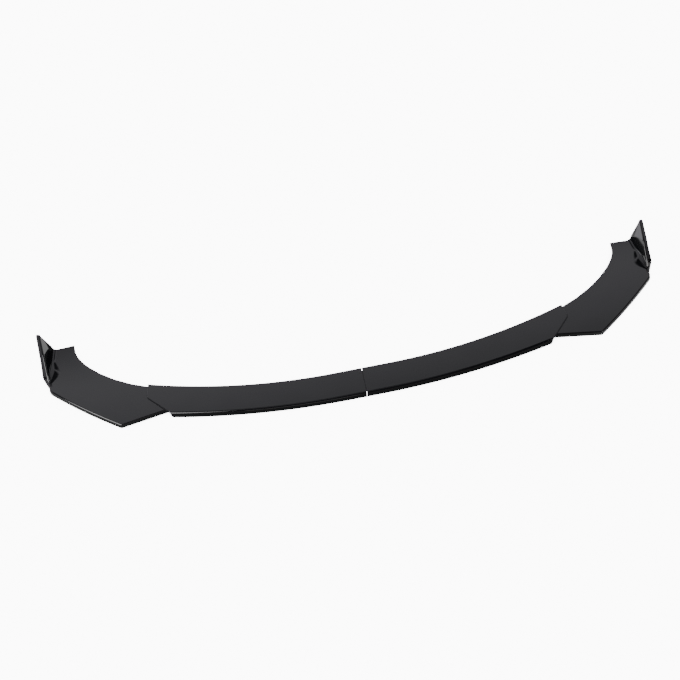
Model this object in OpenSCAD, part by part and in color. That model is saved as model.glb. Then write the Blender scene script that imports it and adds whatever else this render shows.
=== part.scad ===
// Front splitter lip in four mouldings: two centre blades that butt at the middle, and two end
// blades with winglets that are lapped under them. X runs across the car, the front of the lip
// faces -Y, and Z is up. The turned-down front flange stands on Z = 0.
// Plan sizes are measured from the middle of the lip's front edge, and the whole is then moved
// so that the origin is below the middle of its box.

/* [Moulding] */
// Wall thickness of every blade
wall = 3; // [2.5:0.1:3.5]
// Height of the end blades from the ground to their top
end_height = 18; // [16:1:24]
// Slope of the flange faces from upright, in degrees
draft = 8; // [5:1:11]
// Radius of the nose along the centre blades
centre_nose = 8; // [6:0.5:10]
// Radius of the nose along the end blades
end_nose = 4.2; // [3.8:0.1:5]

/* [Centre blades] */
// From the middle of the lip to the rear outer corner of a centre blade
centre_reach = 601; // [560:1:620]
// Depth of the blade at the middle
centre_depth = 82; // [75:1:100]
// Straight stretch of the front edge, on each side of the middle
front_flat = 50; // [20:5:120]
// Radius of the front edge beyond its straight stretch
front_radius = 2480; // [2100:5:3000]
// Straight stretch of the rear edge, on each side of the middle
rear_flat = 80; // [40:5:140]
// Radius of the rear edge beyond its straight stretch
rear_radius = 1870; // [1600:5:2400]
// Gap between the two centre blades at the middle
seam_gap = 1.6; // [0.8:0.1:3]
// Length of the square end behind the slanted cut
lap_side = 40.4; // [34:0.1:46]
// Angle of the slanted cut from the X axis, in degrees
lap_cut = 46.2; // [42:0.1:52]
// Radius of the corner between the square end and the slanted cut
lap_corner = 14; // [8:1:20]

/* [End blades] */
// Reach of an end blade's inner end under the centre blade, from that blade's rear outer corner
lap_length = 66; // [56:1:80]
// Front corner, outwards of the centre blade's rear outer corner
front_corner_out = 95.5; // [80:0.5:110]
// Front corner, ahead of the centre blade's rear outer corner
front_corner_ahead = 108.5; // [104:0.5:114]
// Sweep of the edge between the lap and the front corner, in degrees
front_sweep = 8.4; // [7:0.1:10]
// Radius of the front corner
front_corner_r = 9; // [8:0.5:14]
// Radius of the long edge from the front corner to the outer corner
side_radius = 1450; // [1200:10:1800]
// Direction of that edge where it leaves the front corner, in degrees
side_start = 33.8; // [32:0.1:36]
// Length of that edge up to the theoretical outer corner
side_length = 234; // [225:1:245]
// Radius of the outer corner
outer_corner_r = 22; // [16:1:28]
// Inner rear corner, outwards of the centre blade's rear outer corner
rear_corner_out = 184; // [175:1:195]
// Rear edge, behind the centre blade's rear outer corner
rear_edge_back = 161; // [150:0.5:170]
// Straight stretch in front of the inner rear corner
rear_straight = 19; // [10:1:30]
// Rear edge of the hidden inner end, ahead of the centre blade's rear outer corner
tab_rear_ahead = 26; // [22:0.5:34]
// Sweep of the inner edge at the hidden inner end, in degrees
tab_sweep = 13.3; // [11:0.1:17]
// Pull of the inner edge's curve at the rear corner
inner_pull_rear = 42; // [35:1:55]
// Pull of the inner edge's curve at the hidden inner end
inner_pull_tab = 171; // [150:1:190]

/* [Winglets] */
// Lean of the winglet outwards from upright, in degrees
lean = 32; // [24:1:38]
// Toe-in of the winglet towards the rear, in degrees
toe = 15.2; // [12:0.1:18]
// Start of the winglet behind the theoretical outer corner, along its foot
wing_start = 16; // [10:1:24]
// Length over which the edge turns up to the winglet's full lean
wing_roll = 24; // [16:1:34]
// Bend of the top edge, along the foot
bend_along = 95; // [85:1:105]
// Height of the bend, up the slope of the winglet
bend_up = 44; // [38:1:50]
// Tip of the winglet, along the foot
tip_along = 153; // [143:1:163]
// Height of the tip, up the slope of the winglet
tip_up = 65; // [58:1:72]
// Radius of the tip's corner
tip_radius = 7; // [4:0.5:10]
// Offset of the tip outwards from the plane of the winglet's front half
tip_fold = 7; // [0:0.5:10]
// Width of the rim that is turned outwards at the tip
rim_tip = 11; // [9:0.5:13]
// Width of that rim at the bend of the top edge
rim_bend = 13; // [10:0.5:15]
// Reach of the foot's blend over the blade at the rear
blend_rear = 8; // [6:1:12]
// Reach of the foot's blend over the blade at its widest
blend_wide = 29; // [18:1:34]
// Reach of the foot's blend up the winglet at its widest
blend_up = 14; // [8:1:18]

/* [Fasteners] */
// Diameter of the screw shanks
screw_d = 4; // [3:0.1:4.5]
// Diameter of the screw heads
head_d = 8; // [7:0.1:10]
// Thickness of the screw heads
head_t = 2.6; // [2:0.1:3.5]
// Diameter of the washers
washer_d = 18; // [16:0.5:20]
// Thickness of the washers
washer_t = 1.5; // [1:0.1:2]
// Diameter of the bosses that the screws enter
boss_d = 8; // [7:0.1:9]
// Clearance of a screw in its washer and its hole, all round
screw_gap = 0.1; // [0.05:0.05:0.2]
// Clearance of a boss in its hole or slot, all round
boss_gap = 0.5; // [0.3:0.1:1]
// Clearance between a boss and the washer below it
clamp_gap = 0.2; // [0.1:0.1:0.5]
// Skin left above the end of a screw hole
blind = 1.2; // [1:0.1:1.5]
// Outer screw of a lap, inwards of the corner of the slanted cut
lap_screw_in = 24.8; // [20:0.1:30]
// That screw, behind the corner of the slanted cut
lap_screw_back = 3; // [0:0.5:6]
// Distance between the two screws of a lap
lap_screw_pitch = 34; // [28:1:40]
// Direction of the slots and of the line through a lap's screws, in degrees
slot_angle = 34; // [28:1:40]
// Centre screws, from the front edge and from the rear edge
seam_screw_inset = 24; // [22:1:28]
// Length by which a lap's screws can be moved along their slots
slot_travel = 12; // [6:1:16]
// Reach of the centre tongue under the left blade
tongue_reach = 38; // [34:1:50]
// Overlap of the centre tongue with the blade that carries it
tongue_root = 14; // [10:1:20]
// Clearance of the centre tongue inside the front flange and the rear edge
tongue_inset = 8; // [6:1:12]

/* [Hidden] */
gloss_black = [0.07, 0.07, 0.075];
steel = [0.62, 0.63, 0.65];
$fn = 96;
arc_fn = 720;

// Size of the shapes that cut a part off, and how far a cut runs past the face it opens
far = 2000;
cut = 1;

// Levels, from the ground up: the centre blades lie one wall above the end blades
top = end_height + wall;
under_lap = end_height - wall;
washer_low = under_lap - washer_t;
shank_end = top - blind - 2 * screw_gap;

// Vectors
function unit(v) = v / norm(v);
function polar(a) = [cos(a), sin(a)];
function up(p, z) = [p[0], p[1], z];
function mix(a, b, t) = a + (b - a) * t;
function smooth(t) = let (c = min(max(t, 0), 1)) c * c * (3 - 2 * c);

// Plan of the right centre blade
function rear_y(x) = let (d = max(x - rear_flat, 0))
    centre_depth + rear_radius - sqrt(rear_radius ^ 2 - d ^ 2);
rear_slope = asin((centre_reach - rear_flat) / rear_radius);
rear_outer = [centre_reach, rear_y(centre_reach)];
lap_point = rear_outer + lap_side * polar(rear_slope - 90);
lap_turn = 90 + rear_slope - lap_cut;
lap_tangent = lap_corner * tan(lap_turn / 2);
lap_in = lap_point - lap_tangent * polar(lap_cut);
lap_out = lap_point + lap_tangent * polar(90 + rear_slope);
lap_centre = lap_in + lap_corner * polar(lap_cut + 90);

// Places of the screws in plan, for the right half of the lip
seam_screws_at = [
    for (y = [seam_screw_inset, centre_depth - seam_screw_inset]) [-tongue_reach / 2, y]
];
outer_lap_screw = lap_point + [-lap_screw_in, lap_screw_back];
lap_screws_at = [outer_lap_screw - lap_screw_pitch * polar(slot_angle), outer_lap_screw];

// Section of a centre blade across its front edge, as one sheet: x is the distance behind the
// foot of the flange and y is the height. The nose is an arc between the flange and the skin.
centre_steps = 9;
nose_rise = top - centre_nose;
nose_axis = [nose_rise * tan(draft) + centre_nose / cos(draft), nose_rise];
function nose_arc(r) = [for (i = [0:centre_steps])
    nose_axis + r * polar(mix(180 - draft, 90, i / centre_steps))];
module centre_section(length) {
    polygon(concat(
        [[0, 0]], nose_arc(centre_nose), [[length, top], [length, top - wall]],
        [for (i = [centre_steps:-1:0]) nose_arc(centre_nose - wall)[i]],
        [[wall / cos(draft), 0]]
    ));
}

// Everything in plan behind the rear edge of the right centre blade
module behind_rear_edge() {
    translate([-far / 2, centre_depth]) square([far / 2 + rear_flat, far]);
    intersection() {
        translate([rear_flat, centre_depth + rear_radius]) circle(rear_radius, $fn = arc_fn);
        translate([rear_flat, centre_depth]) square([far / 2, far / 2]);
    }
}

// Plan of the right centre blade's outer end, with the rounded lap corner
module inside_lap() {
    polygon([
        [0, -far / 2], lap_in - far / 2 * polar(lap_cut), lap_in, lap_centre, lap_out,
        lap_out + far / 4 * polar(90 + rear_slope), [0, far / 2]
    ]);
    translate(lap_centre) circle(lap_corner);
}

// Right half of the middle, from half the seam gap outwards
module centre_half() {
    sweep = asin((centre_reach + 2 * lap_corner - front_flat) / front_radius);
    length = rear_outer[1];
    difference() {
        intersection() {
            union() {
                translate([seam_gap / 2, 0, 0]) rotate([90, 0, 90])
                    linear_extrude(front_flat - seam_gap / 2) centre_section(length);
                translate([front_flat, front_radius, 0]) rotate([0, 0, -90])
                    rotate_extrude(angle = sweep, $fn = arc_fn)
                        translate([front_radius, 0]) mirror([1, 0]) centre_section(length);
            }
            translate([0, 0, -cut]) linear_extrude(top + 2 * cut) inside_lap();
        }
        translate([0, 0, -cut]) linear_extrude(top + 2 * cut) behind_rear_edge();
    }
}

// Adds the bosses to a centre blade and drills their blind holes
module with_bosses(places) {
    difference() {
        union() {
            children();
            for (p = places) translate(up(p, under_lap + clamp_gap))
                cylinder(h = top - wall / 2 - under_lap - clamp_gap, d = boss_d);
        }
        for (p = places) translate(up(p, under_lap - cut))
            cylinder(h = top - blind - under_lap + cut, d = screw_d + 2 * screw_gap);
    }
}

// Tongue of the right centre blade, which passes under the left one
module seam_tongue() {
    depth = centre_depth - 2 * tongue_inset;
    difference() {
        union() {
            translate([-tongue_reach, tongue_inset + wall, under_lap])
                cube([tongue_reach + tongue_root, depth - wall, wall]);
            translate([seam_gap / 2, tongue_inset + wall, under_lap])
                cube([tongue_root - seam_gap / 2, depth - wall, 1.5 * wall]);
        }
        for (p = seam_screws_at) translate(up(p, under_lap - cut))
            cylinder(h = wall + 2 * cut, d = boss_d + 2 * boss_gap);
    }
}

// Edge of the right end blade in plan, at the foot of its flange. Each stretch gives points
// with the direction of travel: [x, y, angle].
tab_end = centre_reach - lap_length;
front_corner = rear_outer + [front_corner_out, -front_corner_ahead];
rear_corner = rear_outer + [rear_corner_out, rear_edge_back];
tab_corner = [tab_end, rear_outer[1] - tab_rear_ahead];
side_turn = side_length / side_radius * 180 / PI;
side_centre = front_corner + side_radius * polar(side_start + 90);
outer_corner = side_centre + side_radius * polar(side_start + side_turn - 90);
foot_angle = 90 + toe;
corner_turn = side_start + front_sweep;
corner_tangent = front_corner_r * tan(corner_turn / 2);
outer_turn = foot_angle - side_start - side_turn;
outer_tangent = outer_corner_r * tan(outer_turn / 2);
side_cut_a = corner_tangent / side_radius * 180 / PI;
side_cut_b = outer_tangent / side_radius * 180 / PI;

function at(p, a) = [p[0], p[1], a];
function round_corner(start, r, a0, turn, steps) = let (c = start + r * polar(a0 + 90))
    [for (i = [0:steps]) let (a = a0 + turn * i / steps) at(c + r * polar(a - 90), a)];

front_steps = 5;
side_steps = 10;
front_stretch = [
    for (i = [0:front_steps - 1])
        let (x = mix(tab_end, front_corner[0] - corner_tangent, i / front_steps))
        [x, front_corner[1] + (front_corner[0] - x) * tan(front_sweep), -front_sweep]
];
corner_stretch = round_corner(
    front_corner - corner_tangent * polar(-front_sweep), front_corner_r, -front_sweep, corner_turn, 6);
side_stretch = [
    for (i = [1:side_steps - 1])
        let (a = side_start + mix(side_cut_a, side_turn - side_cut_b, i / side_steps))
        at(side_centre + side_radius * polar(a - 90), a)
];
outer_stretch = round_corner(
    outer_corner - outer_tangent * polar(side_start + side_turn), outer_corner_r,
    side_start + side_turn, outer_turn, 7);
plan_edge = concat(front_stretch, corner_stretch, side_stretch, outer_stretch);

// Inner edge of the end blade: a Bezier curve, then the straight stretch to the rear corner
inner_curve = [
    tab_corner,
    tab_corner + inner_pull_tab * polar(tab_sweep),
    rear_corner - [0, rear_straight + inner_pull_rear],
    rear_corner - [0, rear_straight]
];
function bezier(p, t) = (1 - t) ^ 3 * p[0] + 3 * (1 - t) ^ 2 * t * p[1]
    + 3 * (1 - t) * t ^ 2 * p[2] + t ^ 3 * p[3];
function inner_edge(t) = t <= 1 ? bezier(inner_curve, t)
    : mix(inner_curve[3], rear_corner, t - 1);

// Winglet frame: its foot runs from the outer corner to the rear, and its plate rises outwards
foot_dir = up(polar(foot_angle), 0);
out_dir = up(polar(toe), 0);
draft_run = end_height * tan(draft);
foot_origin = up(outer_corner, end_height) - draft_run * out_dir;
plate_angle = 90 - lean;
foot_end = (rear_corner[1] - foot_origin[1]) / cos(toe);

// Turn of the plate, height of the top edge and reach of the blend at a distance along the foot
function turn_at(p) = plate_angle * smooth((p - wing_start) / wing_roll);
function beyond_bend(p) = max(p - bend_along, 0) / (tip_along - bend_along);
function tip_round(p) = let (d = max(p - tip_along + tip_radius, 0))
    tip_radius - sqrt(tip_radius ^ 2 - d ^ 2);
function rise_at(p) = p <= wing_start ? 0
    : p <= bend_along ? bend_up * (p - wing_start) / (bend_along - wing_start)
    : mix(bend_up, tip_up, beyond_bend(p)) - tip_round(p);
function rim_at(p) = p <= bend_along
    ? mix(end_height, rim_bend, smooth((p - wing_start) / (bend_along - wing_start)))
    : mix(rim_bend, rim_tip, (p - bend_along) / (tip_along - bend_along));
blend_start = 2;
blend_fade = bend_along - 1.2 * wing_roll;
function blend_at(p) =
    mix(blend_start, blend_rear, smooth((p - wing_start) / wing_roll))
    + (blend_wide - blend_rear) * smooth((p - wing_start) / (2 * wing_roll))
    * (1 - smooth((p - 2 * wing_roll) / blend_fade));

function slope_dir(p) = let (b = turn_at(p)) cos(b) * out_dir + sin(b) * [0, 0, 1];
function plate_normal(p) = let (b = turn_at(p)) -sin(b) * out_dir + cos(b) * [0, 0, 1];
function edge_point(p) = foot_origin + p * foot_dir + rise_at(p) * slope_dir(p)
    - tip_fold * beyond_bend(p) * plate_normal(p);

// The winglet is folded from the bend of its top edge to the rear end of its foot. This is the
// fold's place on a station, from 0 at the foot to 1 at the top edge.
fold_top = 0.94;
fold_foot = 0.1;
function fold_at(p) = mix(fold_top, fold_foot, beyond_bend(p));

// Rear edge of the winglet: a station leans back in step with its place along the foot
function shear_at(p) = let (t = smooth((p - 2 * wing_roll) / (tip_along - 2 * wing_roll)))
    t * (tip_along - foot_end);
function foot_at(p) = p - shear_at(p);

plate_steps = 17;
round_steps = 4;
wing_steps = plate_steps + round_steps;
wing_places = concat(
    [for (i = [0:plate_steps]) mix(wing_start, tip_along - tip_radius, i / plate_steps)],
    [for (i = [1:round_steps]) tip_along - tip_radius * (1 - sin(90 * i / round_steps))]
);

// Turned edge: points and normals from the skin round the nose to the foot of the flange.
// a points out of the sheet across its edge and n is the normal of its upper side. The foot's
// own normal is a, so that its face lies flat.
nose_steps = 5;
function edge_chain(p, a, n, drop) = let (
    back = end_nose * tan((90 - draft) / 2),
    centre = p - back * a - end_nose * n,
    turned = [for (i = [0:nose_steps]) let (t = (90 - draft) * i / nose_steps)
        let (d = cos(t) * n + sin(t) * a) [centre + end_nose * d, d]],
    foot = p - drop * n + drop * tan(draft) * a
) concat(turned, [[foot, a]]);

// A flat station of the sheet: from the inner edge at t straight to the turned edge. Its points
// gather along that edge, at these distances from the start of the nose, as the blend's do.
edge_insets = [6, 4.6, 3.4, 2.4, 1.6, 0.9, 0.4];
function flat_station(e, t) = let (
    a = up(polar(e[2] - 90), 0),
    p = up([e[0], e[1]], end_height) - draft_run * a,
    chain = edge_chain(p, a, [0, 0, 1], end_height),
    start = chain[0][0],
    rear = up(inner_edge(t), end_height)
) concat([[rear, [0, 0, 1]]], [for (d = edge_insets) [start - d * a, [0, 0, 1]]], chain);

// A station of the winglet: inner edge, blade, blend, plate, turned rim. Where the plate is low
// its blend takes no more than a share of its height.
blend_share = 0.55;
lowest_rise = 0.01;
function wing_station(p, t) = let (
    step = 0.5,
    ahead = edge_point(min(p + step, tip_along)) - edge_point(max(p - step, wing_start)),
    n0 = plate_normal(p),
    a = unit(cross(ahead, n0)),
    n = unit(cross(a, ahead)),
    chain = edge_chain(edge_point(p), a, n, rim_at(p)),
    start = chain[0][0],
    foot = foot_origin + foot_at(p) * foot_dir,
    rise = max(rise_at(p), lowest_rise),
    reach = blend_at(p),
    flat_in = foot - reach * out_dir,
    lift = min(blend_up * reach / blend_wide, blend_share * rise),
    flat_start = start + tip_fold * beyond_bend(p) * n0,
    plate = mix(foot, flat_start, lift / rise),
    fold = mix(plate, flat_start, fold_at(p)),
    rear = up(inner_edge(t), end_height)
) concat(
    [[rear, [0, 0, 1]]],
    [for (i = [0:5]) let (f = i / 5)
        [(1 - f) ^ 2 * flat_in + 2 * (1 - f) * f * foot + f ^ 2 * plate,
         unit(mix([0, 0, 1], n0, f * lift / ((1 - f) * reach + f * lift)))]],
    [[fold, unit(n0 + n)]],
    chain
);

// Places on the inner edge that face the front corner, the outer corner and the tip: up to 1
// it is the curve, and from 1 to 2 the straight stretch
corner_place = 0.66;
outer_place = 0.9;
tip_place = 2;
function inner_place(i) = let (e = plan_edge[i])
    e[0] < front_corner[0] ? corner_place * (e[0] - tab_end) / (front_corner[0] - tab_end)
    : mix(corner_place, outer_place,
        min((e[0] - front_corner[0]) / (outer_corner[0] - front_corner[0]), 1));

stations = concat(
    [for (i = [0:len(plan_edge) - 1]) flat_station(plan_edge[i], inner_place(i))],
    [for (i = [1:wing_steps])
        wing_station(wing_places[i], mix(outer_place, tip_place, smooth(i / wing_steps)))]
);

// Closed sheet of one wall's thickness below a grid of points with normals
module thick_sheet(grid, thickness) {
    rows = len(grid);
    cols = len(grid[0]);
    total = rows * cols;
    points = concat(
        [for (row = grid) for (q = row) q[0]],
        [for (row = grid) for (q = row) q[0] - thickness * q[1]]
    );
    function upper(i, j) = i * cols + j;
    function lower(i, j) = total + i * cols + j;
    faces = concat(
        [for (i = [0:rows - 2], j = [0:cols - 2]) each [
            [upper(i, j), upper(i + 1, j), upper(i + 1, j + 1)],
            [upper(i, j), upper(i + 1, j + 1), upper(i, j + 1)],
            [lower(i, j), lower(i + 1, j + 1), lower(i + 1, j)],
            [lower(i, j), lower(i, j + 1), lower(i + 1, j + 1)]
        ]],
        [for (i = [0:rows - 2]) each [
            [upper(i, 0), lower(i, 0), lower(i + 1, 0)],
            [upper(i, 0), lower(i + 1, 0), upper(i + 1, 0)],
            [upper(i, cols - 1), lower(i + 1, cols - 1), lower(i, cols - 1)],
            [upper(i, cols - 1), upper(i + 1, cols - 1), lower(i + 1, cols - 1)]
        ]],
        [for (j = [0:cols - 2]) each [
            [upper(0, j), lower(0, j + 1), lower(0, j)],
            [upper(0, j), upper(0, j + 1), lower(0, j + 1)],
            [upper(rows - 1, j), lower(rows - 1, j), lower(rows - 1, j + 1)],
            [upper(rows - 1, j), lower(rows - 1, j + 1), upper(rows - 1, j + 1)]
        ]]
    );
    polyhedron(points, faces, convexity = 8);
}

// The box of the whole lip, which places its origin
tip_y = max([for (s = stations) for (q = s) max(q[0][1], q[0][1] - wall * q[1][1])]);
middle_y = tip_y / 2;

module slot(p) {
    translate(up(p, under_lap - cut)) rotate([0, 0, slot_angle]) linear_extrude(wall + 2 * cut) {
        square([slot_travel, boss_d + 2 * boss_gap], center = true);
        for (s = [-1, 1]) translate([s * slot_travel / 2, 0]) circle(d = boss_d + 2 * boss_gap);
    }
}

module end_half() {
    difference() {
        thick_sheet(stations, wall);
        for (p = lap_screws_at) slot(p);
    }
}

// Thread-cutting screw, head down, with a cross recess in its head
head_face = 0.7 * head_d;
head_rim = 0.6 * head_t;
recess_depth = 0.6 * head_t;
recess_length = 0.5 * head_d;
recess_width = 0.12 * head_d;
module screw(p) {
    difference() {
        union() {
            translate(up(p, washer_low)) cylinder(h = shank_end - washer_low, d = screw_d);
            translate(up(p, washer_low - head_rim)) cylinder(h = head_rim, d = head_d);
            translate(up(p, washer_low - head_t))
                cylinder(h = head_t - head_rim, d1 = head_face, d2 = head_d);
        }
        for (a = [0, 90]) translate(up(p, washer_low - head_t)) rotate([0, 0, a])
            cube([recess_length, recess_width, 2 * recess_depth], center = true);
    }
}

module washer(p) {
    translate(up(p, washer_low)) difference() {
        cylinder(h = washer_t, d = washer_d);
        translate([0, 0, -cut]) cylinder(h = washer_t + 2 * cut, d = screw_d + 2 * screw_gap);
    }
}

module placed() {
    translate([0, -middle_y, 0]) children();
}

module left() {
    mirror([1, 0, 0]) children();
}

module left_centre_blade() {
    color(gloss_black) placed() left()
        with_bosses(concat(lap_screws_at, [for (p = seam_screws_at) [-p[0], p[1]]])) centre_half();
}

module right_centre_blade() {
    color(gloss_black) placed() {
        with_bosses(lap_screws_at) centre_half();
        seam_tongue();
    }
}

module left_end_blade() {
    color(gloss_black) placed() left() end_half();
}

module right_end_blade() {
    color(gloss_black) placed() end_half();
}

module seam_washers() {
    color(steel) placed() for (p = seam_screws_at) washer(p);
}

module seam_screws() {
    color(steel) placed() for (p = seam_screws_at) screw(p);
}

module left_lap_washers() {
    color(steel) placed() left() for (p = lap_screws_at) washer(p);
}

module left_lap_screws() {
    color(steel) placed() left() for (p = lap_screws_at) screw(p);
}

module right_lap_washers() {
    color(steel) placed() for (p = lap_screws_at) washer(p);
}

module right_lap_screws() {
    color(steel) placed() for (p = lap_screws_at) screw(p);
}

left_centre_blade();
right_centre_blade();
left_end_blade();
right_end_blade();
seam_washers();
seam_screws();
left_lap_washers();
left_lap_screws();
right_lap_washers();
right_lap_screws();
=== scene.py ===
"""Looks of a front splitter lip: four glossy black mouldings with hidden zinc-plated screws."""
import math

import bmesh
import bpy
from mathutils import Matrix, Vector


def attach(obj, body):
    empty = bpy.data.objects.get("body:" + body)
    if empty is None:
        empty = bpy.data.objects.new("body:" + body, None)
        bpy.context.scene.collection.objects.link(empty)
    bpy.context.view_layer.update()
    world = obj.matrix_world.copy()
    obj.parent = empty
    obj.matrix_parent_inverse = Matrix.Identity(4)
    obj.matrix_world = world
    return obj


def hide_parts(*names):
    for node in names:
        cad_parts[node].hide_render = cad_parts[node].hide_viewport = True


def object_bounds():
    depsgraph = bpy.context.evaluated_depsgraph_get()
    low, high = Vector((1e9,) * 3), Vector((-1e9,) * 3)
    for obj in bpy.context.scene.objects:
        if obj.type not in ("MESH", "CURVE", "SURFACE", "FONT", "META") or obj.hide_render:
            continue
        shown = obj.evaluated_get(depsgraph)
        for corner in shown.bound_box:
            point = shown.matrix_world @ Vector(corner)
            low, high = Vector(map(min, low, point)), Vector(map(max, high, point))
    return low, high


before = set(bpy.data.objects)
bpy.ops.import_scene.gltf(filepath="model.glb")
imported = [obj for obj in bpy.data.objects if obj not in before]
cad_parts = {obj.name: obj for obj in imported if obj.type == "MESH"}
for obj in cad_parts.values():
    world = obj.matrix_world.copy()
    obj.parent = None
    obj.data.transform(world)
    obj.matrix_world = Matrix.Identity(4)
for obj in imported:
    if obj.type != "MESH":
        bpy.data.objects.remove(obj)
cad_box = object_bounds()
scene = bpy.context.scene

# Camera: where the photograph was taken from, fitted to the outline of the lip
AZIMUTH = math.radians(-11.79)
ELEVATION = math.radians(67.57)
DISTANCE = 7.138
TARGET = Vector((-0.0401, cad_box[0].y + 0.186, 0.0))
LENS_MM = 132.35
SENSOR_MM = 36.0
FARTHEST = 100


def direction(turn, rise):
    """A way out from the lip, turned from straight ahead towards its right end and upwards."""
    return Vector((
        math.sin(turn) * math.cos(rise), -math.cos(turn) * math.cos(rise), math.sin(rise)))


def aim_camera():
    back = direction(AZIMUTH, ELEVATION)
    camera = bpy.data.objects.new("camera", bpy.data.cameras.new("camera"))
    scene.collection.objects.link(camera)
    camera.data.lens = LENS_MM
    camera.data.sensor_width = SENSOR_MM
    camera.data.clip_end = FARTHEST
    camera.location = TARGET + back * DISTANCE
    camera.rotation_mode = "QUATERNION"
    camera.rotation_quaternion = (-back).to_track_quat("-Z", "Y")
    scene.camera = camera


# Node helpers
def add(tree, kind, links=None, values=None, **settings):
    """A new shader node with its settings, its plain values and its incoming links."""
    made = tree.nodes.new("ShaderNode" + kind)
    for name, value in settings.items():
        setattr(made, name, value)
    for name, value in (values or {}).items():
        made.inputs[name].default_value = value
    for name, socket in (links or {}).items():
        tree.links.new(socket, made.inputs[name])
    return made


def calc(tree, operation, *terms):
    """The output of a math node. A term is a number or another node's output."""
    made = tree.nodes.new("ShaderNodeMath")
    made.operation = operation
    for index, term in enumerate(terms):
        if isinstance(term, (int, float)):
            made.inputs[index].default_value = term
        else:
            tree.links.new(term, made.inputs[index])
    return made.outputs[0]


def step(tree, value, start, end, low, high):
    """Goes smoothly from low to high while value goes from start to end."""
    made = add(tree, "MapRange", {"Value": value}, interpolation_type="SMOOTHSTEP", values={
        "From Min": start, "From Max": end, "To Min": low, "To Max": high})
    return made.outputs["Result"]


def brighter(tree, light, *masks):
    """The brighter one of a light and the product of the masks."""
    other = masks[0]
    for mask in masks[1:]:
        other = calc(tree, "MULTIPLY", other, mask)
    return calc(tree, "MAXIMUM", light, other)


def mix_colour(tree, mask, first, second):
    made = add(tree, "Mix", {0: mask}, data_type="RGBA")
    made.inputs[6].default_value = (*first, 1)
    made.inputs[7].default_value = (*second, 1)
    return made.outputs[2]


def empty_material(name):
    material = bpy.data.materials.new(name)
    material.use_nodes = True
    material.node_tree.nodes.clear()
    return material, material.node_tree


def new_group(name, inputs, outputs):
    """An empty node group. Inputs are names with plain values, and outputs are names."""
    group = bpy.data.node_groups.new(name, "ShaderNodeTree")
    for label, value in inputs.items():
        socket = group.interface.new_socket(label, in_out="INPUT", socket_type="NodeSocketFloat")
        socket.default_value = value
    for label in outputs:
        group.interface.new_socket(label, in_out="OUTPUT", socket_type="NodeSocketFloat")
    start = group.nodes.new("NodeGroupInput")
    end = group.nodes.new("NodeGroupOutput")
    return group, start.outputs, end.inputs


def use_group(tree, group, **values):
    made = tree.nodes.new("ShaderNodeGroup")
    made.node_tree = group
    for name, value in values.items():
        made.inputs[name.replace("_", " ").capitalize()].default_value = value
    return made.outputs


# Dust that lies on all three finishes
SPECKS = (0.56, 0.74)
CLOUDS = (0.35, 0.7)
THINNEST_DUST = 0.25


def dust_group():
    """Mask of fine dust, in clouds of specks."""
    group, given, out = new_group("fine_dust", {"Speck scale": 700, "Cloud scale": 7}, ["Mask"])
    place = add(group, "TexCoord").outputs["Object"]
    specks = add(group, "TexNoise", {"Vector": place, "Scale": given["Speck scale"]}, {"Detail": 2})
    clouds = add(group, "TexNoise", {"Vector": place, "Scale": given["Cloud scale"]}, {"Detail": 3})
    speck = step(group, specks.outputs["Fac"], *SPECKS, 0.0, 1.0)
    cloud = step(group, clouds.outputs["Fac"], *CLOUDS, THINNEST_DUST, 1.0)
    group.links.new(calc(group, "MULTIPLY", speck, cloud), out["Mask"])
    return group


DUST = dust_group()

# Finishes: colours clean and dusty, roughness clean and what dust adds to it, heights in metres
PLASTIC_IOR = 1.5
GLOSS_COLOURS = ((0.0028, 0.0029, 0.0034), (0.0075, 0.0075, 0.0078))
GLOSS_ROUGH = 0.055
GLOSS_DUST_ROUGH = 0.03
WAVE_SCALE = 9
WAVE_HEIGHT = 0.00008
SATIN_COLOURS = ((0.006, 0.006, 0.0066), (0.02, 0.02, 0.021))
SATIN_ROUGH = 0.34
SATIN_DUST_ROUGH = 0.15
GRAIN_SCALE = 1400
GRAIN_STRENGTH = 0.6
GRAIN_HEIGHT = 0.00003
ZINC_COLOURS = ((0.5, 0.52, 0.56), (0.7, 0.71, 0.73))
ZINC_ROUGH = 0.26
ZINC_CRYSTAL_ROUGH = 0.12
ZINC_DUST_ROUGH = 0.25
ZINC_SHADES = (0.3, 0.7)


def gloss_black():
    """Outer side of the mouldings: polished, very slightly wavy, with a trace of dust."""
    material, tree = empty_material("gloss_black")
    dust = use_group(tree, DUST)["Mask"]
    place = add(tree, "TexCoord").outputs["Object"]
    waves = add(tree, "TexNoise", {"Vector": place}, {"Scale": WAVE_SCALE, "Detail": 1})
    colour = mix_colour(tree, dust, *GLOSS_COLOURS)
    rough = calc(tree, "MULTIPLY_ADD", dust, GLOSS_DUST_ROUGH, GLOSS_ROUGH)
    bump = add(tree, "Bump", {"Height": waves.outputs["Fac"]}, {
        "Strength": 1, "Distance": WAVE_HEIGHT})
    shader = add(tree, "BsdfPrincipled", values={"IOR": PLASTIC_IOR}, links={
        "Base Color": colour, "Roughness": rough, "Normal": bump.outputs["Normal"]})
    add(tree, "OutputMaterial", {"Surface": shader.outputs[0]})
    return material


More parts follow.
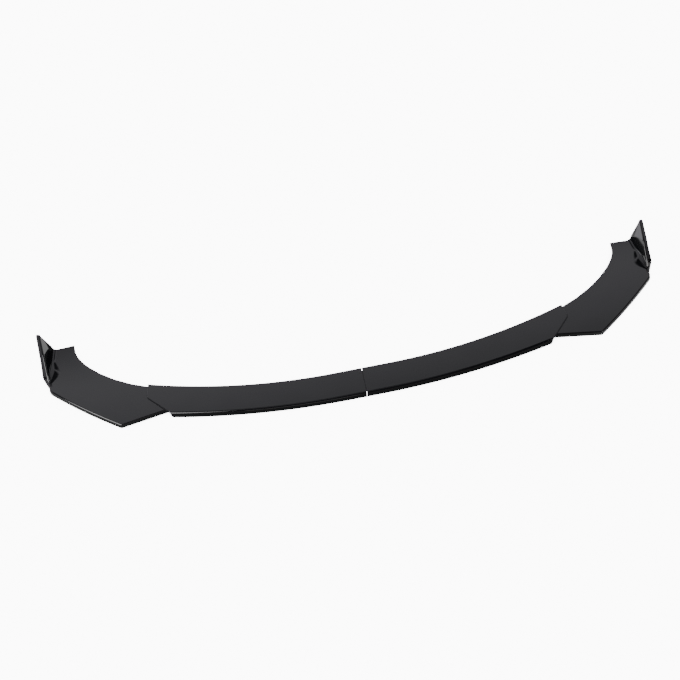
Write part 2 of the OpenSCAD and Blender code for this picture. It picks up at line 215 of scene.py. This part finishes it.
def satin_black():
    """Inner side of the mouldings: fine grain, less polish and more dust."""
    material, tree = empty_material("satin_black")
    dust = use_group(tree, DUST, speck_scale=500, cloud_scale=4)["Mask"]
    place = add(tree, "TexCoord").outputs["Object"]
    grain = add(tree, "TexNoise", {"Vector": place}, {"Scale": GRAIN_SCALE, "Detail": 3})
    colour = mix_colour(tree, dust, *SATIN_COLOURS)
    rough = calc(tree, "MULTIPLY_ADD", dust, SATIN_DUST_ROUGH, SATIN_ROUGH)
    bump = add(tree, "Bump", {"Height": grain.outputs["Fac"]}, {
        "Strength": GRAIN_STRENGTH, "Distance": GRAIN_HEIGHT})
    shader = add(tree, "BsdfPrincipled", values={"IOR": PLASTIC_IOR}, links={
        "Base Color": colour, "Roughness": rough, "Normal": bump.outputs["Normal"]})
    add(tree, "OutputMaterial", {"Surface": shader.outputs[0]})
    return material


def zinc_steel():
    """Zinc plating: a pale bluish metal with a fine cloudy crystal and dull dust."""
    material, tree = empty_material("zinc_steel")
    dust = use_group(tree, DUST, speck_scale=1600, cloud_scale=60)["Mask"]
    place = add(tree, "TexCoord").outputs["Object"]
    crystal = add(tree, "TexVoronoi", {"Vector": place}, {"Scale": 900})
    cloud = add(tree, "TexNoise", {"Vector": place}, {"Scale": 240, "Detail": 4})
    shade = step(tree, cloud.outputs["Fac"], *ZINC_SHADES, 0.0, 1.0)
    colour = mix_colour(tree, shade, *ZINC_COLOURS)
    grey = calc(tree, "MULTIPLY_ADD", crystal.outputs["Distance"], ZINC_CRYSTAL_ROUGH, ZINC_ROUGH)
    rough = calc(tree, "MULTIPLY_ADD", dust, ZINC_DUST_ROUGH, grey)
    shader = add(tree, "BsdfPrincipled", values={"Metallic": 1}, links={
        "Base Color": colour, "Roughness": rough})
    add(tree, "OutputMaterial", {"Surface": shader.outputs[0]})
    return material


# Mouldings: each stands for the solid of the same name, with its edges rounded.
# Points nearer than WELD are one. Facets and triangles that turn by less than these are joined.
WELD = 0.000001
FLAT = math.radians(0.05)
QUAD_LIMIT = math.radians(12)
QUAD_SHAPE = math.radians(60)
# End blades: the widest sliver that is taken out, the heights of the level top and underside, and
# how far a point of theirs may be off that height
SLIVER = 0.00012
BLADE_TOP = 0.018
BLADE_UNDER = 0.015
SAME = 0.000002
# Every edge that turns by more than SHARP is finely rounded
SHARP = math.radians(35)
EDGE_RADIUS = 0.0005
EDGE_STEPS = 2
# Laps, where the top of a centre blade ends over its end blade. LEVEL and NEARLY_UP find the
# edges of the top, and LAP_FACING picks those whose side looks away from the middle
LAP_RADIUS = 0.0026
LAP_STEPS = 6
LEVEL = 0.0002
NEARLY_UP = 0.999
LAP_FACING = 0.3
# The fold of the right winglet, from its top edge to the foot, how near that line an edge must
# be, how much it has to turn, and how well it has to follow the line
FOLD_RADIUS = 0.0012
FOLD_STEPS = 2
FOLD_TOP = Vector((0.8718, 0.1134, 0.0507))
FOLD_FOOT = Vector((0.8471, 0.1447, 0.0258))
FOLD_NEAR = 0.005
FOLD_ANGLE = math.radians(2.5)
FOLD_TURN = 0.85
# Upward part of the normal: below the first a face has the inner finish, above the second it
# counts as level
UNDERSIDE = -0.05
LEVEL_FACE = 0.999999
MM2_PER_M2 = 1e6


def refill(bm, height, way):
    """Fills a level face again from its outline, because its strips lie over each other. Way is
    1 for a face that looks up and -1 for one that looks down."""
    level = {
        face for face in bm.faces if all(abs(vert.co.z - height) < SAME for vert in face.verts)}
    rim = [edge for edge in bm.edges if sum(face in level for face in edge.link_faces) == 1]
    bmesh.ops.delete(bm, geom=list(level), context="FACES")
    made = bmesh.ops.triangle_fill(bm, edges=rim, use_beauty=True, normal=(0, 0, 1))["geom"]
    faces = [part for part in made if isinstance(part, bmesh.types.BMFace)]
    bm.normal_update()
    for face in faces:
        if face.normal.z * way < 0:
            face.normal_flip()


def merged_copy(node):
    """The solid's mesh with its loose triangles joined to facets."""
    bm = bmesh.new()
    bm.from_mesh(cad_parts[node].data)
    bmesh.ops.remove_doubles(bm, verts=bm.verts, dist=WELD)
    if "centre" in node:
        bmesh.ops.dissolve_limit(
            bm, angle_limit=FLAT, verts=bm.verts, edges=bm.edges, use_dissolve_boundaries=False)
    else:
        bmesh.ops.dissolve_degenerate(bm, dist=SLIVER, edges=bm.edges)
        refill(bm, BLADE_TOP, 1)
        refill(bm, BLADE_UNDER, -1)
    bmesh.ops.join_triangles(
        bm, faces=bm.faces, angle_face_threshold=QUAD_LIMIT, angle_shape_threshold=QUAD_SHAPE)
    bm.normal_update()
    return bm


def is_lap_edge(edge, top):
    """An edge where the top of a centre blade ends over its end blade."""
    ups = [face for face in edge.link_faces if face.normal.z > NEARLY_UP]
    sides = [face for face in edge.link_faces if abs(face.normal.z) < LEVEL]
    level = all(abs(vert.co.z - top) < LEVEL for vert in edge.verts)
    return bool(ups and sides and level and sides[0].normal.x * edge.verts[0].co.x > LAP_FACING)


def is_fold_edge(edge):
    """An edge on the upper side of a winglet where its plate is folded."""
    if edge.link_faces[0].normal.z < 0 or edge.calc_face_angle() < FOLD_ANGLE:
        return False
    along = (FOLD_FOOT - FOLD_TOP).normalized()
    ends = [Vector((abs(vert.co.x), vert.co.y, vert.co.z)) for vert in edge.verts]
    if abs((ends[1] - ends[0]).normalized().dot(along)) < FOLD_TURN:
        return False
    return all((end - FOLD_TOP).cross(along).length < FOLD_NEAR for end in ends)


def round_edges(bm, edges, radius, segments, clamp=False):
    """Rounds the edges. With clamp the radius shrinks where they lie too close for it."""
    bmesh.ops.bevel(
        bm, geom=edges, offset=radius, segments=segments, profile=0.5, material=-1,
        affect="EDGES", clamp_overlap=clamp)
    bm.normal_update()


def even_normals(bm):
    """A normal for each point, led by the largest face around it, so that flat faces look flat.
    It is upright wherever a level face borders."""
    normals = []
    for vert in bm.verts:
        if any(face.normal.z > LEVEL_FACE for face in vert.link_faces):
            normals.append(Vector((0, 0, 1)))
            continue
        total = Vector()
        for face in vert.link_faces:
            total += face.normal * (face.calc_area() * MM2_PER_M2) ** 2
        normals.append(total.normalized())
    return normals


def moulding(node, outer, inner):
    """The skin of a moulding, glossy outside and satin on its inner side."""
    bm = merged_copy(node)
    if "centre" in node:
        top = max(vert.co.z for vert in bm.verts)
        laps = [edge for edge in bm.edges if is_lap_edge(edge, top)]
        round_edges(bm, laps, LAP_RADIUS, LAP_STEPS)
    else:
        folds = [edge for edge in bm.edges if is_fold_edge(edge)]
        round_edges(bm, folds, FOLD_RADIUS, FOLD_STEPS, clamp=True)
    sharp = [edge for edge in bm.edges if edge.is_manifold and edge.calc_face_angle() > SHARP]
    round_edges(bm, sharp, EDGE_RADIUS, EDGE_STEPS)
    for face in bm.faces:
        face.smooth = True
        face.material_index = 1 if face.normal.z < UNDERSIDE else 0
    mesh = bpy.data.meshes.new(node + "_skin")
    bm.verts.index_update()
    normals = even_normals(bm)
    bm.to_mesh(mesh)
    bm.free()
    mesh.normals_split_custom_set_from_vertices(normals)
    mesh.materials.append(outer)
    mesh.materials.append(inner)
    piece = bpy.data.objects.new(node + "_skin", mesh)
    scene.collection.objects.link(piece)
    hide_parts(node)
    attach(piece, "root")


# Studio: the camera sees the floor and the surround plain and white. The lip's gloss mirrors a
# bright rear, a dark front and pale walls on both sides.
FLOOR_SIZE = 60
FLOOR_SEEN = 11.0
# Soft shade close to the lip: its reach, its share of the floor's light, and where it ends
SHADE_REACH = 0.05
SHADE = 0.35
SHADE_END = 0.8
# The floor is bright on a rounded patch under and behind the lip, dark ahead, bright far away
FLOOR_MIRRORED = 3.0
FLOOR_AHEAD = 0.08
FLOOR_MIDDLE = -0.025
FLOOR_HALF_WIDTH = 0.575
FLOOR_REAR = 0.4
FLOOR_DEPTH = 0.53
FLOOR_ROUNDING = 3
PATCH_EDGE = (0.95, 1.1)
FAR_FLOOR = (1.6, 6.0)

SKY_SEEN = 11.0
SKY_TINT = (0.835, 0.82, 0.87)
SKY_LOW = 0.03
SKY_MIDDLE = 0.07
# A narrow window above the rear, which the level tops mirror: it starts at an edge that runs
# slightly askew, grows brighter rearwards and falls off steeply before its end
WINDOW_EDGE = 0.318
WINDOW_TILT = -0.02
WINDOW_RISE = 31.5
WINDOW_END = 0.404
WINDOW_FALL = 72
# The other parts: the light of each, and where it fades in or out along the mirrored direction's
# x to the right, y to the rear and z up, or aside, which is away from the middle on both sides
REAR_GLOW = 3.0
REAR_Y = (0.46, 0.56)
WALL_GLOW = 1.1
WALL_ASIDE = (0.22, 0.32)
WALL_Y = (-0.1, 0.05)
WALL_Z = (0.3, 0.42)
FRONT_WALL_GLOW = 1.2
FRONT_WALL_ASIDE = (0.68, 0.78)
FRONT_WALL_Y = (-0.4, -0.3)
ZENITH_GLOW = 0.9
ZENITH_Z = (0.98, 0.995)
LOW_GLOW = 0.25
LOW_START_Z = (0.1, 0.2)
LOW_END_Z = (0.3, 0.4)
LOW_Y = (-0.55, -0.4)
LEFT_GLOW = 4.4
LEFT_X = (-0.95, -0.85)
LEFT_Y = (0.08, 0.14)

# Soft lights: azimuth and elevation in degrees, distance, width and height in metres, and how
# bright each is in a perfect mirror
SOFTBOXES = {
    "left_softbox": (-48, 35, 3.0, 1.9, 2.6, 10),
    "right_softbox": (52, 30, 3.0, 0.8, 1.6, 8),
    "front_softbox": (-4, 19, 4.0, 1.1, 0.5, 2),
}


def pale_floor():
    """A white floor that gives its own light, and that is clear when it is seen from below."""
    bpy.ops.mesh.primitive_plane_add(size=FLOOR_SIZE)
    floor = bpy.context.object
    floor.name = "floor"
    material, tree = empty_material("pale_floor")
    place = add(tree, "SeparateXYZ", {"Vector": add(tree, "TexCoord").outputs["Object"]})
    aside = calc(tree, "ABSOLUTE", calc(tree, "SUBTRACT", place.outputs["X"], FLOOR_MIDDLE))
    across = calc(tree, "POWER", calc(tree, "DIVIDE", aside, FLOOR_HALF_WIDTH), FLOOR_ROUNDING)
    ahead = calc(tree, "MAXIMUM", calc(tree, "SUBTRACT", FLOOR_REAR, place.outputs["Y"]), 0)
    along = calc(tree, "POWER", calc(tree, "DIVIDE", ahead, FLOOR_DEPTH), FLOOR_ROUNDING)
    outside = calc(tree, "ADD", across, along)
    near = step(tree, outside, *PATCH_EDGE, FLOOR_MIRRORED, FLOOR_AHEAD)
    far = step(tree, outside, *FAR_FLOOR, 0.0, 1.0)
    mirrored = calc(tree, "ADD", near, far)
    shade = add(tree, "AmbientOcclusion", values={"Distance": SHADE_REACH}, samples=8)
    seen = step(tree, shade.outputs["AO"], 0.0, SHADE_END, SHADE * FLOOR_SEEN, FLOOR_SEEN)
    ray = add(tree, "LightPath").outputs["Is Camera Ray"]
    strength = add(tree, "Mix", {0: ray, 2: mirrored, 3: seen}, data_type="FLOAT")
    glow = add(tree, "Emission", {"Strength": strength.outputs[0]})
    below = add(tree, "BsdfTransparent")
    backfacing = add(tree, "NewGeometry").outputs["Backfacing"]
    surface = add(tree, "MixShader", {0: backfacing, 1: glow.outputs[0], 2: below.outputs[0]})
    add(tree, "OutputMaterial", {"Surface": surface.outputs[0]})
    floor.data.materials.append(material)


def surround():
    """The world's light, white to the camera and in parts to all that is mirrored."""
    world = bpy.data.worlds.new("studio")
    scene.world = world
    world.use_nodes = True
    tree = world.node_tree
    tree.nodes.clear()
    way = add(tree, "SeparateXYZ", {"Vector": add(tree, "TexCoord").outputs["Generated"]})
    x, y, z = way.outputs
    rearward = calc(tree, "MULTIPLY_ADD", x, WINDOW_TILT, y)
    rise = calc(tree, "MULTIPLY", calc(tree, "SUBTRACT", rearward, WINDOW_EDGE), WINDOW_RISE)
    fall = calc(tree, "MULTIPLY", calc(tree, "SUBTRACT", WINDOW_END, y), WINDOW_FALL)
    window = calc(tree, "MAXIMUM", calc(tree, "MINIMUM", rise, fall), SKY_LOW)
    lit = brighter(tree, window, step(tree, y, *REAR_Y, 0.0, REAR_GLOW))
    aside = calc(tree, "ABSOLUTE", calc(tree, "SUBTRACT", x, SKY_MIDDLE))
    above = step(tree, z, *WALL_Z, 0.0, 1.0)
    walls = step(tree, aside, *WALL_ASIDE, 0.0, WALL_GLOW)
    lit = brighter(tree, lit, walls, step(tree, y, *WALL_Y, 0.0, 1.0), above)
    front_walls = step(tree, aside, *FRONT_WALL_ASIDE, 0.0, FRONT_WALL_GLOW)
    lit = brighter(tree, lit, front_walls, step(tree, y, *FRONT_WALL_Y, 0.0, 1.0), above)
    lit = brighter(tree, lit, step(tree, z, *ZENITH_Z, 0.0, ZENITH_GLOW))
    low = step(tree, z, *LOW_START_Z, 0.0, LOW_GLOW)
    low_end = step(tree, z, *LOW_END_Z, 1.0, 0.0)
    lit = brighter(tree, lit, low, low_end, step(tree, y, *LOW_Y, 1.0, 0.0))
    left = step(tree, x, *LEFT_X, LEFT_GLOW, 0.0)
    lit = brighter(tree, lit, left, step(tree, y, *LEFT_Y, 0.0, 1.0))
    ray = add(tree, "LightPath").outputs["Is Camera Ray"]
    strength = add(tree, "Mix", {0: ray, 2: lit}, {3: SKY_SEEN}, data_type="FLOAT")
    tint = mix_colour(tree, ray, SKY_TINT, (1, 1, 1))
    back = add(tree, "Background", {"Color": tint, "Strength": strength.outputs[0]})
    add(tree, "OutputWorld", {"Surface": back.outputs[0]})


def softbox(name, azimuth, elevation, distance, width, height, seen):
    """A soft light that looks at the lip, made from a line of SOFTBOXES."""
    light = bpy.data.lights.new(name, "AREA")
    light.shape = "RECTANGLE"
    light.size = width
    light.size_y = height
    light.energy = seen * math.pi * width * height
    lamp = bpy.data.objects.new(name, light)
    scene.collection.objects.link(lamp)
    out = direction(math.radians(azimuth), math.radians(elevation))
    lamp.location = out * distance
    lamp.rotation_mode = "QUATERNION"
    lamp.rotation_quaternion = out.to_track_quat("Z", "Y")
    lamp.visible_camera = False


aim_camera()
pale_floor()
surround()
for name, settings in SOFTBOXES.items():
    softbox(name, *settings)

OUTER = gloss_black()
INNER = satin_black()
ZINC = zinc_steel()
for side in ("left", "right"):
    for part in ("centre_blade", "end_blade"):
        moulding(f"{side}_{part}", OUTER, INNER)
for node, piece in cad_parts.items():
    if "screws" in node or "washers" in node:
        piece.data.materials.clear()
        piece.data.materials.append(ZINC)
